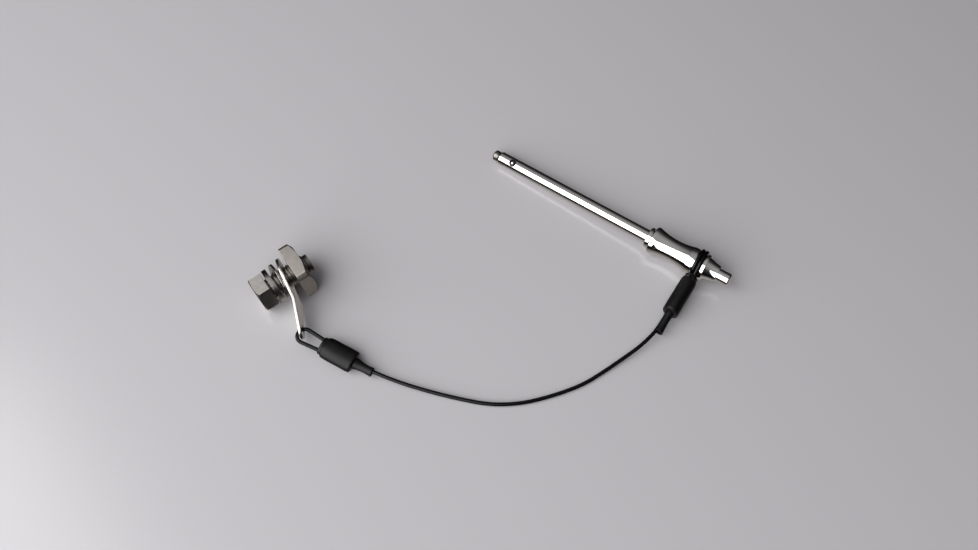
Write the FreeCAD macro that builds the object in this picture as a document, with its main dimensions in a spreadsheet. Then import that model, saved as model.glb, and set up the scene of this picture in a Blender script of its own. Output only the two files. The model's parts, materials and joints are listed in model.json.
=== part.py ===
"""Quick-release ball-lock pin on a coated-cable lanyard, with a bolt-on mounting tab.

Lengths are millimetres and angles degrees. The row stands on z = 0 with +Z up. Each end of
the lanyard is described in a frame of its own: the loop's centre is the origin, +Z runs from
the loop through the crimp into the cable, and X lies in the plane of the loop.
"""
import FreeCAD, Part
import Sketcher
import math
import os

V = FreeCAD.Vector
doc = FreeCAD.newDocument("ball_lock_pin")

SIZES = {
    # pin: stations are counted along its axis from the nose
    "shank_dia": 6.35, "shank_length": 87.6, "bore_gap": 0.15, "running_gap": 0.05,
    "tip_chamfer_width": 0.6, "tip_chamfer_length": 0.9,
    "nose_length": 3.0, "nose_dia": 5.1, "nose_flat_dia": 3.8, "nose_neck_dia": 4.6,
    "nose_bead_length": 2.5, "nose_stem_dia": 4.4, "nose_stem_length": 2.0,
    "collar_dia": 10.1, "collar_width": 1.8, "collar_edge": 0.25,
    "relief_dia": 8.4, "relief_width": 0.7, "spigot_dia": 6.0, "spigot_length": 9.0,
    # grip
    "rim_dia": 13.2, "rim_width": 1.4, "grip_length": 18.6, "waist_dia": 10.4,
    "land_dia": 12.9, "land_width": 2.3, "groove_width": 4.6, "groove_dia": 10.6,
    "chamber_dia": 8.4, "cap_flange_dia": 12.6, "cap_flange_width": 1.3,
    "cap_nose_dia": 7.8, "cap_cone_length": 6.1, "cap_waist_step": 0.9, "cap_boss_length": 6.0,
    # release button, spindle, spring and balls
    "button_dia": 6.0, "button_reach": 6.0, "button_edge": 0.5, "button_travel": 2.5,
    "button_flange_dia": 7.6, "button_flange_width": 1.6, "spindle_seat": 6.8,
    "ball_dia": 2.4, "ball_station": 11.4, "ball_reach": 0.7, "ball_seat_dia": 3.2,
    "ball_seat_depth": 0.25, "cam_lead": 0.18,
    "spring_wire": 0.5, "spring_dia": 5.2, "spring_turns": 6.0,
    # lanyard
    "cable_dia": 1.8, "turn_gap": 0.04, "strand_offset": 2.6, "strand_bend": 3.0,
    "handle_loop_dia": 12.9, "handle_loop_taper": 35.0,
    "handle_mouth": 7.7, "handle_sleeve_length": 21.0, "handle_tail_length": 10.8,
    "tab_loop_dia": 6.7, "tab_loop_taper": 4.4,
    "tab_mouth": 9.0, "tab_sleeve_length": 17.0, "tab_tail_length": 9.2,
    "sleeve_width": 10.6, "sleeve_height": 7.6, "sleeve_wall": 0.9, "sleeve_end_share": 0.82,
    "sleeve_shoulder": 1.4, "ferrule_front_inset": 1.7, "ferrule_rear_inset": 4.3,
    "tail_width": 5.6, "tail_height": 4.2, "tail_end_dia": 4.4, "tail_mouth_dia": 3.4,
    # mounting tab
    "tab_plate": 1.3, "tab_head_dia": 19.0, "tab_bolt_clearance": 1.2, "tab_bend_station": 13.4,
    "tab_bend_angle": 15.0, "tab_arm_length": 13.4, "tab_end_dia": 8.4, "tab_cable_hole": 4.6,
    # bolt, nut and washers
    "thread_dia": 10.0, "thread_pitch": 1.5, "thread_depth": 0.7, "bolt_length": 22.0,
    "head_height": 6.4, "head_flats": 16.0, "head_edge": 0.9, "bolt_end_edge": 1.0,
    "nut_side": 20.0, "nut_height": 6.0, "nut_edge": 1.3, "nut_station": 19.3,
    "flat_washer_dia": 18.0, "flat_washer_clearance": 0.9, "flat_washer_plate": 1.1,
    "flat_washer_station": 11.6, "flat_washer_lean": 10.0,
    "lock_washer_dia": 17.0, "lock_washer_clearance": 0.4, "lock_washer_plate": 2.1,
    "lock_washer_rise": 1.5, "lock_washer_turn": 0.965, "lock_washer_gap": 0.15,
    "tab_station": 15.4, "tab_lean": 8.0, "tab_yaw": 8.0,
}

sheet = doc.addObject("Spreadsheet::Sheet", "Sizes")
for row, (alias, number) in enumerate(SIZES.items(), start=1):
    sheet.set("A%d" % row, alias)
    sheet.set("B%d" % row, str(number))
    sheet.setAlias("B%d" % row, alias)
doc.recompute()


class Size:
    """A length with two faces: the text of its expression and its present value."""

    def __init__(self, text, value):
        self.text = text
        self.value = float(value)

    def joined(self, sign, other, value):
        return Size("(%s %s %s)" % (self.text, sign, size(other).text), value)

    def __add__(self, other):
        return self.joined("+", other, self.value + size(other).value)

    def __sub__(self, other):
        return self.joined("-", other, self.value - size(other).value)

    def __mul__(self, other):
        return self.joined("*", other, self.value * size(other).value)

    def __truediv__(self, other):
        return self.joined("/", other, self.value / size(other).value)


def size(thing):
    return thing if isinstance(thing, Size) else Size(repr(thing), thing)


def dim(alias):
    return Size("Sizes." + alias, sheet.get(alias))


def mm(alias):
    return float(sheet.get(alias))


def bind(obj, prop, length):
    obj.setExpression(prop, size(length).text)


# ---------------------------------------------------------------- document helpers
NODES = []
SIDE = 1.0 / 2


def keep(obj, label, placement):
    """Name a sub-part, place it and put it on the list of what is written."""
    obj.Label = label
    obj.Placement = placement
    NODES.append(obj)
    return obj


def new_body(name):
    return doc.addObject("PartDesign::Body", name + "_body")


def attach(sketch, body, role):
    plane = [f for f in body.Origin.OriginFeatures if f.Role == role][0]
    sketch.AttachmentSupport = [(plane, "")]
    sketch.MapMode = "FlatFace"


def outline(sketch, corners, arcs=None):
    """Draw a closed outline whose corners are bound to the sheet.

    arcs maps the number of an edge to the radius of a hollow arc in place of its line.
    """
    arcs = arcs or {}
    count = len(corners)
    points = [V(size(x).value, size(y).value, 0) for x, y in corners]
    ends = []
    for i in range(count):
        first, last = points[i], points[(i + 1) % count]
        if i in arcs:
            circle, flipped = hollow_arc(first, last, arcs[i].value)
            number = sketch.addGeometry(circle, False)
            ends.append((number, 2, 1) if flipped else (number, 1, 2))
        else:
            number = sketch.addGeometry(Part.LineSegment(first, last), False)
            ends.append((number, 1, 2))
    for i in range(count):
        geo, _, tail = ends[i]
        after, head, _ = ends[(i + 1) % count]
        sketch.addConstraint(Sketcher.Constraint("Coincident", geo, tail, after, head))
    for i, (x, y) in enumerate(corners):
        geo, head, _ = ends[i]
        pin_down(sketch, "DistanceX", geo, head, x, -2)
        pin_down(sketch, "DistanceY", geo, head, y, -1)
    for i, radius in arcs.items():
        number = sketch.addConstraint(Sketcher.Constraint("Radius", ends[i][0], radius.value))
        sketch.setExpression("Constraints[%d]" % number, radius.text)


def pin_down(sketch, kind, geo, point, length, axis):
    """Hold one coordinate of a corner: on the axis where it is zero, else at its length."""
    if size(length).value == 0:
        sketch.addConstraint(Sketcher.Constraint("PointOnObject", geo, point, axis))
        return
    rule = Sketcher.Constraint(kind, -1, 1, geo, point, size(length).value)
    number = sketch.addConstraint(rule)
    sketch.setExpression("Constraints[%d]" % number, size(length).text)


def hollow_arc(first, last, radius):
    """Arc between two points of a rising outline, bulging towards the axis x = 0."""
    chord = last.sub(first)
    half = chord.Length / 2
    away = V(abs(chord.y), -chord.x * math.copysign(1, chord.y), 0).normalize()
    centre = first.add(chord * 0.5).add(away * math.sqrt(radius ** 2 - half ** 2))
    start = math.atan2(first.y - centre.y, first.x - centre.x)
    stop = math.atan2(last.y - centre.y, last.x - centre.x)
    flipped = (stop - start) % (2 * math.pi) > math.pi
    low, high = (stop, start) if flipped else (start, stop)
    circle = Part.Circle(centre, V(0, 0, 1), radius)
    return Part.ArcOfCircle(circle, low % (2 * math.pi), high % (2 * math.pi)), flipped


def turned(name, corners, arcs=None):
    """Body of revolution about local Z; corners are (radius, station) pairs."""
    body = new_body(name)
    sketch = body.newObject("Sketcher::SketchObject", name + "_profile")
    attach(sketch, body, "XZ_Plane")
    outline(sketch, corners, arcs)
    turn = body.newObject("PartDesign::Revolution", name + "_turning")
    turn.Profile = sketch
    turn.ReferenceAxis = (sketch, ["V_Axis"])
    turn.Angle = 360.0
    body.Tip = turn
    doc.recompute()
    return body


def frame(origin, z_axis, x_axis):
    """Placement with local Z along z_axis and local X as near x_axis as that allows."""
    rotation = FreeCAD.Rotation(x_axis, V(0, 0, 0), z_axis, "ZXY")
    return FreeCAD.Placement(origin, rotation)


def heading(azimuth, rise=0.0):
    """Unit vector at an azimuth in the table plane and a rise above it."""
    flat, up = math.radians(azimuth), math.radians(rise)
    return V(math.cos(up) * math.cos(flat), math.cos(up) * math.sin(flat), math.sin(up))


# ---------------------------------------------------------------- where the assembly lies
PIN_NOSE = V(2.9, 66.2, 0)
PIN_AZIMUTH = -34.3
TAB_LOOP = V(-82.8, -34.1, 0)
TAB_SLEEVE_AZIMUTH = -28.3
TAB_SLEEVE_DIP = 4.0
HOLE_ON_LOOP = 60.0
BOLT_AZIMUTH = 34.5
HANDLE_SLEEVE_DIP = 4.7
HANDLE_SLEEVE_YAW = 1.5
BALL_SIDE_LEAN = 22.5

shank_radius = dim("shank_dia") / 2
ball_radius = dim("ball_dia") / 2
ball_centre = shank_radius + dim("ball_reach") - ball_radius
collar_start = dim("shank_length")
relief_start = collar_start + dim("collar_width")
grip_start = relief_start + dim("relief_width")
spigot_end = grip_start + dim("spigot_length")
land_start = grip_start + dim("rim_width") + dim("grip_length")
groove_start = land_start + dim("land_width")
groove_end = groove_start + dim("groove_width")
cap_end = groove_end + dim("cap_flange_width") + dim("cap_cone_length")
boss_start = groove_end - dim("cap_boss_length")

# the pin lies on its lower ball and on the front rim of the grip
rim_contact = (grip_start + dim("collar_edge")).value
ball_drop = ball_centre.value * math.cos(math.radians(BALL_SIDE_LEAN))
ball_height = mm("ball_dia") / 2 + ball_drop
pin_slope = (mm("rim_dia") / 2 - ball_height) / (rim_contact - mm("ball_station"))
pin_rise = math.degrees(math.atan(pin_slope))
nose_height = ball_height - pin_slope * mm("ball_station")
pin_axis = heading(PIN_AZIMUTH, pin_rise)
near_side = heading(PIN_AZIMUTH - 90)
ball_side = near_side * math.sin(math.radians(BALL_SIDE_LEAN)) \
    + V(0, 0, 1) * math.cos(math.radians(BALL_SIDE_LEAN))
PIN = frame(V(PIN_NOSE.x, PIN_NOSE.y, nose_height), pin_axis, ball_side)

# the lanyard's loop lies in the groove; its crimp points to the near side and down a little
groove_middle = (groove_start + dim("groove_width") / 2).value
plane_up = pin_axis.cross(near_side)
plane_up = plane_up * math.copysign(1, plane_up.z)
dip = math.radians(HANDLE_SLEEVE_DIP)
yaw = math.radians(HANDLE_SLEEVE_YAW)
crimp_side = near_side * math.cos(yaw) + pin_axis * math.sin(yaw)
HANDLE_END = frame(PIN.multVec(V(0, 0, groove_middle)),
                   crimp_side * math.cos(dip) - plane_up * math.sin(dip), plane_up)

# the crimp at the tab lies on the table by its rear shoulder
tab_sleeve_end = mm("tab_mouth") + mm("tab_sleeve_length")
tab_loop_height = mm("sleeve_height") / 2 + tab_sleeve_end * math.sin(math.radians(TAB_SLEEVE_DIP))
TAB_END = frame(V(TAB_LOOP.x, TAB_LOOP.y, tab_loop_height),
                heading(TAB_SLEEVE_AZIMUTH, -TAB_SLEEVE_DIP), heading(TAB_SLEEVE_AZIMUTH + 90))

# the bolt lies on a flat of its head and a flat of the nut
head_contact = mm("head_edge")
bolt_slope = (mm("nut_side") - mm("head_flats")) / 2 / (mm("nut_station") - head_contact)
bolt_rise = math.degrees(math.atan(bolt_slope))
bolt_axis = heading(BOLT_AZIMUTH, bolt_rise)
tab_height = mm("head_flats") / 2 * math.cos(math.radians(bolt_rise)) \
    + (mm("tab_station") - head_contact) * math.sin(math.radians(bolt_rise))

# the tab hangs between the cable in its small hole and the bolt in its large one
half_loop = mm("tab_loop_dia") / 2
along = math.radians(HOLE_ON_LOOP)
cable_in_hole = TAB_END.multVec(V(half_loop * math.cos(along), 0, -half_loop * math.sin(along)))
bend = math.radians(mm("tab_bend_angle"))
small_hole = V(mm("tab_bend_station") + mm("tab_arm_length") * math.cos(bend), 0,
               -mm("tab_arm_length") * math.sin(bend))
lean = math.radians(mm("tab_lean"))
tab_azimuth = BOLT_AZIMUTH - 90 - mm("tab_yaw")
climb = tab_height - cable_in_hole.z
reach = math.hypot(small_hole.x, small_hole.z * math.sin(lean))
tab_dip = math.asin(climb / reach) - math.atan2(-small_hole.z * math.sin(lean), small_hole.x)
tab_length = heading(tab_azimuth, -math.degrees(tab_dip))
upright_normal = heading(tab_azimuth + 90)
upright = tab_length.cross(upright_normal)
tab_normal = upright_normal * math.cos(lean) + upright * math.sin(lean)
TAB = frame(V(0, 0, 0), tab_normal, tab_length)
TAB.Base = cable_in_hole.sub(TAB.Rotation.multVec(small_hole))
BOLT = frame(TAB.Base.sub(bolt_axis * mm("tab_station")), bolt_axis, heading(BOLT_AZIMUTH - 90))


# ---------------------------------------------------------------- pin
def make_shank():
    """Hollow shank with collar and spigot, and a cross hole whose mouths hold the balls."""
    bore = ball_centre - ball_radius - dim("running_gap") / 2 + dim("bore_gap")
    seat = dim("nose_stem_dia") / 2
    seat_end = dim("nose_length") + dim("nose_stem_length")
    collar = dim("collar_dia") / 2
    edge = dim("collar_edge")
    body = turned("shank", [
        (seat, dim("nose_length")),
        (shank_radius - dim("tip_chamfer_width"), dim("nose_length")),
        (shank_radius, dim("nose_length") + dim("tip_chamfer_length")),
        (shank_radius, collar_start),
        (collar - edge, collar_start),
        (collar, collar_start + edge),
        (collar, relief_start),
        (dim("relief_dia") / 2, relief_start),
        (dim("relief_dia") / 2, grip_start),
        (dim("spigot_dia") / 2, grip_start),
        (dim("spigot_dia") / 2, spigot_end),
        (bore, spigot_end),
        (bore, seat_end),
        (seat, seat_end),
    ])
    before = body.Shape.Volume
    hole = body.newObject("Sketcher::SketchObject", "ball_hole_profile")
    attach(hole, body, "XZ_Plane")
    radius = ball_radius + dim("running_gap")
    mouth = dim("ball_seat_dia") / 2
    floor = shank_radius - dim("ball_seat_depth")
    outline(hole, [
        (0, dim("ball_station")),
        (0, dim("ball_station") + radius),
        (floor, dim("ball_station") + radius),
        (shank_radius, dim("ball_station") + mouth),
        (shank_radius + 1, dim("ball_station") + mouth),
        (shank_radius + 1, dim("ball_station")),
    ])
    groove = body.newObject("PartDesign::Groove", "ball_hole")
    groove.Profile = hole
    groove.ReferenceAxis = (hole, ["Edge6"])
    groove.Angle = 360.0
    doc.recompute()
    mirror = body.newObject("PartDesign::PolarPattern", "ball_holes")
    mirror.Originals = [groove]
    mirror.Axis = (hole, ["V_Axis"])
    mirror.Angle = 360.0
    mirror.Occurrences = 2
    body.Tip = mirror
    doc.recompute()
    if body.Shape.Volume >= before:
        raise RuntimeError("the ball holes cut nothing")
    keep(body, "shank", PIN)


def make_nose_plug():
    """Beaded plug pressed into the front of the shank, which closes its bore."""
    stem = dim("nose_stem_dia") / 2 - dim("running_gap") / 2
    body = turned("nose_plug", [
        (0, 0),
        (dim("nose_flat_dia") / 2, 0),
        (dim("nose_dia") / 2, dim("nose_bead_length") / 4),
        (dim("nose_dia") / 2, dim("nose_bead_length")),
        (dim("nose_neck_dia") / 2, dim("nose_bead_length")),
        (dim("nose_neck_dia") / 2, dim("nose_length")),
        (stem, dim("nose_length")),
        (stem, dim("nose_length") + dim("nose_stem_length")),
        (0, dim("nose_length") + dim("nose_stem_length")),
    ])
    keep(body, "nose_plug", PIN)


def make_grip():
    """Waisted grip with a front rim, a lanyard groove and a chamber for the spring."""
    sag = (dim("rim_dia") + dim("land_dia")) / 4 - dim("waist_dia") / 2
    span = dim("grip_length")
    arc = (span * span + sag * sag * 4) / (sag * 8)
    edge = dim("collar_edge")
    bore = dim("spigot_dia") / 2 + dim("running_gap") / 2
    body = turned("grip", [
        (bore, grip_start),
        (dim("rim_dia") / 2 - edge, grip_start),
        (dim("rim_dia") / 2, grip_start + edge),
        (dim("rim_dia") / 2, grip_start + dim("rim_width")),
        (dim("land_dia") / 2, land_start),
        (dim("land_dia") / 2, groove_start),
        (dim("groove_dia") / 2, groove_start),
        (dim("groove_dia") / 2, groove_end),
        (dim("chamber_dia") / 2, groove_end),
        (dim("chamber_dia") / 2, spigot_end),
        (bore, spigot_end),
    ], arcs={3: arc})
    keep(body, "grip", PIN)


def make_rear_cap():
    """Flange and flared cone that close the grip and guide the release button."""
    bore = dim("button_dia") / 2 + dim("running_gap") * 2
    flange = dim("cap_flange_dia") / 2
    flange_end = groove_end + dim("cap_flange_width")
    flare = flange - dim("cap_waist_step")
    fall = flare - dim("cap_nose_dia") / 2
    reach = dim("cap_cone_length")
    arc = (fall * fall + reach * reach) / (fall * 1.1)
    body = turned("rear_cap", [
        (bore, boss_start),
        (dim("chamber_dia") / 2 - dim("running_gap") / 2, boss_start),
        (dim("chamber_dia") / 2 - dim("running_gap") / 2, groove_end),
        (flange, groove_end),
        (flange, flange_end),
        (flare, flange_end),
        (dim("cap_nose_dia") / 2, cap_end),
        (bore, cap_end),
    ], arcs={5: arc})
    keep(body, "rear_cap", PIN)


def make_release_button():
    """Button whose inner flange rests on the cap; the spindle sits in its blind bore."""
    radius = dim("button_dia") / 2
    flange_end = boss_start - dim("running_gap")
    flange_start = flange_end - dim("button_flange_width")
    seat = spindle_radius() + dim("running_gap") / 2
    top = cap_end + dim("button_reach")
    body = turned("release_button", [
        (seat, flange_start),
        (dim("button_flange_dia") / 2, flange_start),
        (dim("button_flange_dia") / 2, flange_end),
        (radius, flange_end),
        (radius, top - dim("button_edge")),
        (radius - dim("button_edge"), top),
        (0, top),
        (0, flange_start + dim("spindle_seat")),
        (seat, flange_start + dim("spindle_seat")),
    ])
    keep(body, "release_button", PIN)


def spindle_radius():
    """The spindle carries the balls when they stand out."""
    return ball_centre - ball_radius - dim("running_gap") / 2


def make_spindle():
    """Rod with a cone that lets the balls sink as the button goes in."""
    radius = spindle_radius()
    travel = dim("button_travel")
    station = dim("ball_station")
    front = dim("nose_length") + dim("nose_stem_length") + travel + dim("bore_gap") * 2
    neck = radius - dim("ball_reach") / travel * (travel + dim("cam_lead"))
    neck_end = station + travel + ball_radius / 3
    rise_end = station + travel + ball_radius + dim("running_gap")
    rear = boss_start - dim("running_gap") - dim("button_flange_width") + dim("spindle_seat")
    body = turned("spindle", [
        (0, front),
        (radius, front),
        (radius, station - dim("cam_lead")),
        (neck, station + travel),
        (neck, neck_end),
        (radius, rise_end),
        (radius, rear - dim("running_gap")),
        (0, rear - dim("running_gap")),
    ])
    keep(body, "spindle", PIN)


def make_return_spring():
    """Coil spring between the shank's spigot and the button's flange."""
    body = new_body("return_spring")
    sketch = body.newObject("Sketcher::SketchObject", "spring_wire_section")
    attach(sketch, body, "XZ_Plane")
    wire = dim("spring_wire") / 2
    start = spigot_end + wire + dim("running_gap")
    stop = boss_start - dim("running_gap") * 2 - dim("button_flange_width") - wire
    circle = Part.Circle(V(mm("spring_dia") / 2, start.value, 0), V(0, 0, 1), wire.value)
    number = sketch.addGeometry(circle, False)
    pin_down(sketch, "DistanceX", number, 3, dim("spring_dia") / 2, -2)
    pin_down(sketch, "DistanceY", number, 3, start, -1)
    rule = sketch.addConstraint(Sketcher.Constraint("Radius", number, wire.value))
    sketch.setExpression("Constraints[%d]" % rule, wire.text)
    coil = body.newObject("PartDesign::AdditiveHelix", "coil")
    coil.Profile = sketch
    coil.ReferenceAxis = (sketch, ["V_Axis"])
    coil.Mode = "height-turns-angle"
    bind(coil, "Height", stop - start)
    bind(coil, "Turns", dim("spring_turns"))
    body.Tip = coil
    doc.recompute()
    keep(body, "return_spring", PIN)


def make_ball(label, side):
    """Locking ball, standing out of the shank on one side."""
    ball = doc.addObject("Part::Sphere", label)
    bind(ball, "Radius", ball_radius)
    place = PIN.multiply(FreeCAD.Placement(V(side * ball_centre.value, 0, mm("ball_station")),
                                           FreeCAD.Rotation()))
    keep(ball, label, place)


# ---------------------------------------------------------------- lanyard
def tube(path, diameter):
    """Round cable along a wire that starts with a straight stretch."""
    first = path.Edges[0]
    start = first.valueAt(first.FirstParameter)
    ring = Part.makeCircle(diameter / 2, start, first.tangentAt(first.FirstParameter))
    solid = path.makePipe(Part.Face(Part.Wire(ring)))
    expected = math.pi * diameter ** 2 / 4 * path.Length
    if abs(solid.Volume - expected) > expected / 50:
        raise RuntimeError("a cable tube has the wrong volume")
    return solid


def loop_path(radius, taper, rear):
    """Teardrop in the local XZ plane: two strands out of the crimp joined round an arc."""
    offset, corner = mm("strand_offset"), mm("strand_bend")
    angle = math.radians(taper)
    touch = V(radius * math.cos(angle), 0, radius * math.sin(angle))
    leg = (touch.x - offset) / math.sin(angle)
    knee = V(offset, 0, touch.z + leg * math.cos(angle))
    cut = corner * math.tan(angle / 2)
    above = knee.add(V(0, 0, cut))
    below = knee.add(V(math.sin(angle), 0, -math.cos(angle)) * cut)
    centre = V(offset + corner, 0, above.z)
    middle = centre.add(V(-math.cos(angle / 2), 0, -math.sin(angle / 2)) * corner)

    def flip(point):
        return V(-point.x, 0, point.z)

    start = V(offset, 0, rear)
    edges = [
        Part.LineSegment(start, above),
        Part.Arc(above, middle, below),
        Part.LineSegment(below, touch),
        Part.Arc(touch, V(0, 0, -radius), flip(touch)),
        Part.LineSegment(flip(touch), flip(below)),
        Part.Arc(flip(below), flip(middle), flip(above)),
        Part.LineSegment(flip(above), flip(start)),
    ]
    return Part.Wire([edge.toShape() for edge in edges])


def ferrule_rear(mouth, length):
    return mm(mouth) + mm(length) - mm("ferrule_rear_inset")


def make_handle_loop():
    """Two turns in the grip's groove: one runs into the crimp, one closes on itself."""
    rear = ferrule_rear("handle_mouth", "handle_sleeve_length")
    radius = mm("handle_loop_dia") / 2
    step = (mm("cable_dia") + mm("turn_gap")) / 2
    turn = tube(loop_path(radius, mm("handle_loop_taper"), rear), mm("cable_dia"))
    turn.translate(V(0, -step, 0))
    ring = Part.makeTorus(radius, mm("cable_dia") / 2, V(0, step, 0), V(0, 1, 0))
    loop = doc.addObject("Part::Feature", "handle_loop")
    loop.Shape = Part.makeCompound([turn, ring])
    keep(loop, "handle_loop", HANDLE_END)


def make_tab_loop():
    """Loop through the small hole of the tab."""
    rear = ferrule_rear("tab_mouth", "tab_sleeve_length")
    path = loop_path(mm("tab_loop_dia") / 2, mm("tab_loop_taper"), rear)
    loop = doc.addObject("Part::Feature", "tab_loop")
    loop.Shape = tube(path, mm("cable_dia"))
    keep(loop, "tab_loop", TAB_END)


def oval(name, width, height, station):
    """Ellipse across local Z at a station, with its long axis along X."""
    ring = doc.addObject("Part::Ellipse", name)
    bind(ring, "MajorRadius", width / 2)
    bind(ring, "MinorRadius", height / 2)
    bind(ring, ".Placement.Base.z", station)
    return ring


def loft(name, rings):
    solid = doc.addObject("Part::Loft", name)
    solid.Sections = rings
    solid.Solid = True
    solid.Ruled = True
    return solid


def make_crimp(end, mouth, length, tail_length, place, side_step):
    """Crimped ferrule, the thick shrink sleeve over it and the thin one over the cable."""
    mouth, length, tail = dim(mouth), dim(length), dim(tail_length)
    width, height = dim("sleeve_width"), dim("sleeve_height")
    share, shoulder = dim("sleeve_end_share"), dim("sleeve_shoulder")
    stop = mouth + length
    outer = loft(end + "_outer", [
        oval(end + "_mouth", width * share, height * share, mouth),
        oval(end + "_front", width, height, mouth + shoulder),
        oval(end + "_rear", width, height, stop - shoulder),
        oval(end + "_stop", width * share, height * share, stop),
    ])
    wall = dim("sleeve_wall") * 2
    front = mouth + dim("ferrule_front_inset")
    rear = stop - dim("ferrule_rear_inset")
    inner = loft(end + "_inner", [
        oval(end + "_inner_front", width - wall, height - wall, mouth - 1),
        oval(end + "_inner_rear", width - wall, height - wall, rear),
    ])
    passage = doc.addObject("Part::Cylinder", end + "_passage")
    bind(passage, "Radius", dim("cable_dia") / 2 + dim("running_gap"))
    bind(passage, "Height", dim("ferrule_rear_inset") + tail + 2)
    bind(passage, ".Placement.Base.z", rear - 1)
    hollow = doc.addObject("Part::MultiFuse", end + "_hollow")
    hollow.Shapes = [inner, passage]
    sleeve = doc.addObject("Part::Cut", end + "_sleeve_cut")
    sleeve.Base, sleeve.Tool = outer, hollow
    keep(sleeve, end + "_sleeve", place)

    slack = dim("running_gap") * 2
    block = loft(end + "_block", [
        oval(end + "_block_front", width - wall - slack, height - wall - slack, front),
        oval(end + "_block_rear", width - wall - slack, height - wall - slack, rear),
    ])
    bores = []
    for side in (-1, 1):
        bore = doc.addObject("Part::Cylinder", end + "_strand_bore")
        bind(bore, "Radius", dim("cable_dia") / 2 + dim("running_gap") / 2)
        bind(bore, "Height", length)
        bind(bore, ".Placement.Base.x", dim("strand_offset") * side)
        bore.Placement.Base.y = side_step
        bind(bore, ".Placement.Base.z", front - 1)
        bores.append(bore)
    pair = doc.addObject("Part::MultiFuse", end + "_bores")
    pair.Shapes = bores
    ferrule = doc.addObject("Part::Cut", end + "_ferrule_cut")
    ferrule.Base, ferrule.Tool = block, pair
    keep(ferrule, end + "_ferrule", place)

    taper = loft(end + "_taper", [
        oval(end + "_taper_front", dim("tail_width"), dim("tail_height"), stop),
        oval(end + "_taper_rear", dim("tail_end_dia"), dim("tail_end_dia") * 0.999, stop + tail),
    ])
    way = doc.addObject("Part::Cone", end + "_tail_way")
    bind(way, "Radius1", dim("cable_dia") / 2 + dim("running_gap"))
    bind(way, "Radius2", dim("tail_mouth_dia") / 2)
    bind(way, "Height", tail + 2)
    bind(way, ".Placement.Base.z", stop - 1)
    cover = doc.addObject("Part::Cut", end + "_tail_cut")
    cover.Base, cover.Tool = taper, way
    keep(cover, end + "_tail_sleeve", place)


CABLE_TABLE = [V(53.5, -48.1, 0.95), V(37.8, -58.1, 0.95), V(8.1, -66.5, 0.95),
               V(-18.7, -61.4, 0.95)]
CABLE_FIRST_RUN = 16.5
CABLE_LAST_RUN = 17.0


def cable_route():
    """Points of the free cable, from the crimp at the grip to the crimp at the tab."""
    start = ferrule_rear("handle_mouth", "handle_sleeve_length")
    stop = ferrule_rear("tab_mouth", "tab_sleeve_length")
    first = [HANDLE_END.multVec(V(0, 0, z)) for z in (start, start + CABLE_FIRST_RUN)]
    last = [TAB_END.multVec(V(0, 0, z)) for z in (stop + CABLE_LAST_RUN, stop)]
    return first + CABLE_TABLE + last


def rounded(points):
    """Straight runs joined by tangent arcs as large as the two runs allow."""
    edges, at = [], points[0]
    for before, corner, after in zip(points, points[1:], points[2:]):
        back, ahead = before.sub(corner), after.sub(corner)
        turn = math.pi - back.getAngle(ahead)
        cut = 0.45 * min(back.Length, ahead.Length)
        radius = cut / math.tan(turn / 2)
        print("cable arc radius %.1f mm, turn %.1f degrees" % (radius, math.degrees(turn)))
        back.normalize()
        ahead.normalize()
        enter, leave = corner.add(back * cut), corner.add(ahead * cut)
        inward = back.add(ahead).normalize()
        depth = math.hypot(radius, cut) - radius
        edges.append(Part.LineSegment(at, enter).toShape())
        edges.append(Part.Arc(enter, corner.add(inward * depth), leave).toShape())
        at = leave
    edges.append(Part.LineSegment(at, points[-1]).toShape())
    return Part.Wire(edges)


def make_cable():
    route = cable_route()
    path = rounded(route)
    cable = doc.addObject("Part::Feature", "lanyard_cable")
    cable.Shape = tube(path, mm("cable_dia"))
    keep(cable, "lanyard_cable", FreeCAD.Placement())
    return path.Length


# ---------------------------------------------------------------- tab and bolt
def plain_sketch(name, placement):
    sketch = doc.addObject("Sketcher::SketchObject", name)
    sketch.Placement = placement
    return sketch


def prism(name, sketch, length):
    """Extrude a sketch evenly to both sides of its plane."""
    solid = doc.addObject("Part::Extrusion", name)
    solid.Base = sketch
    solid.DirMode = "Normal"
    solid.Solid = True
    solid.Symmetric = True
    bind(solid, "LengthFwd", length)
    return solid


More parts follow.
